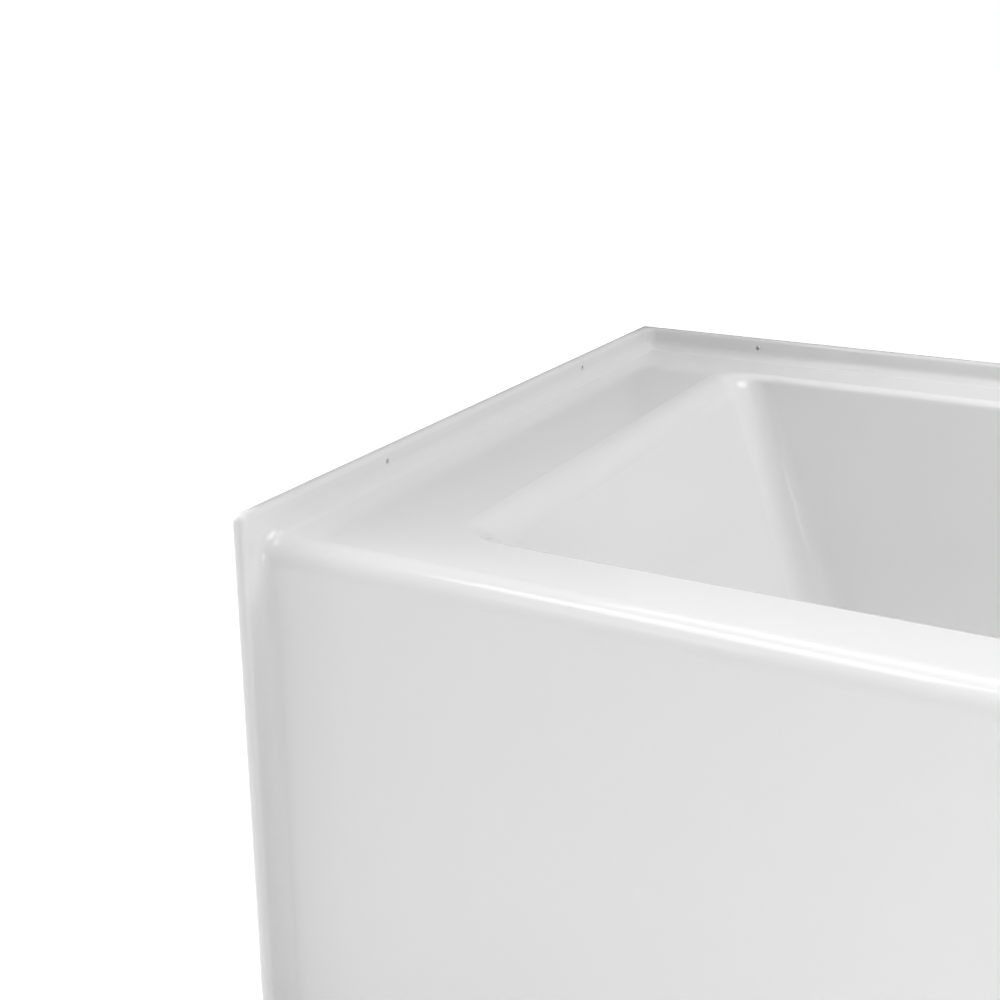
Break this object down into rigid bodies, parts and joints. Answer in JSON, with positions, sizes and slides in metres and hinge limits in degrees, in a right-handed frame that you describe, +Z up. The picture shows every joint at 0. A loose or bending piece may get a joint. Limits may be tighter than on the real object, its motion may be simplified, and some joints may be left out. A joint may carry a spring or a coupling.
{
  "type": "alcove bathtub",
  "caption": "White alcove bathtub with plain integral apron, rounded front edge, tiling flange, sloped backrest and a right-hand lever-worked pop-up waste and overflow.",
  "frame": {"origin": "centre of the footprint, on the floor", "axes": "+X along the tub to the drain end, +Y to the back wall, +Z up"},
  "size_m": [1.524, 0.813, 0.482],
  "materials": {
    "white_acrylic": "gloss",
    "board": "resin coated",
    "timber": "sawn",
    "pad_rubber": "matte",
    "pipe_plastic": "satin",
    "fitting_plastic": "satin",
    "nut_plastic": "satin",
    "washer_plastic": "matte",
    "seal_rubber": "matte",
    "chrome": "polished",
    "steel": "plain",
    "brass": "plain"
  },
  "bodies": {
    "tub": {"tub_shell": "white_acrylic", "floor_board": "board", "bearer_left": "timber", "bearer_middle": "timber", "bearer_right": "timber", "foot_pads": "pad_rubber", "front_rim_rail": "timber", "back_rim_rail": "timber", "left_rim_rail": "timber", "right_rim_rail": "timber", "toe_rail": "timber", "apron_batten_left": "timber", "apron_batten_middle": "timber", "apron_batten_right": "timber", "waste_tube": "pipe_plastic", "overflow_tube": "pipe_plastic", "tailpiece": "pipe_plastic", "waste_tee": "fitting_plastic", "stack_nut": "nut_plastic", "stack_washer": "washer_plastic", "outlet_nut": "nut_plastic", "outlet_washer": "washer_plastic", "branch_nut": "nut_plastic", "branch_washer": "washer_plastic", "drain_flange": "chrome", "drain_gasket": "seal_rubber", "drain_shoe": "fitting_plastic", "overflow_elbow": "fitting_plastic", "overflow_gasket": "seal_rubber", "lever_bracket": "steel", "lever_pin": "steel", "overflow_plate": "chrome", "overflow_screws": "chrome"},
    "lever": {"trip_lever": "chrome"},
    "linkage": {"linkage_yoke": "brass", "yoke_pin": "steel", "linkage_rod": "brass", "adjuster_nut": "brass", "linkage_spring": "steel"},
    "rocker": {"rocker_arm": "brass"},
    "stopper": {"stopper_cap": "chrome", "stopper_seal": "seal_rubber", "stopper_stem": "brass"}
  },
  "joints": [
    {"name": "trip_lever_hinge", "type": "hinge", "parent": "tub", "child": "lever", "pos_m": [0.63765, 0.0115, 0.365], "axis": [0, 1, 0], "range_deg": [0, 24]},
    {"name": "linkage_slide", "type": "slide", "parent": "tub", "child": "linkage", "axis": [0, 0, -1], "range_m": [0, 0.01672]},
    {"name": "rocker_hinge", "type": "hinge", "parent": "tub", "child": "rocker", "pos_m": [0.56695, 0.0115, 0.063], "axis": [0, 1, 0], "range_deg": [0, 8.72]},
    {"name": "stopper_lift", "type": "slide", "parent": "tub", "child": "stopper", "axis": [0, 0, 1], "range_m": [0, 0.01246]}
  ],
  "couplings": [
    {"joint": "linkage_slide", "follows": "trip_lever_hinge", "m_per_rad": 0.039885},
    {"joint": "rocker_hinge", "follows": "trip_lever_hinge", "ratio": 0.36294},
    {"joint": "stopper_lift", "follows": "trip_lever_hinge", "m_per_rad": 0.029715}
  ]
}
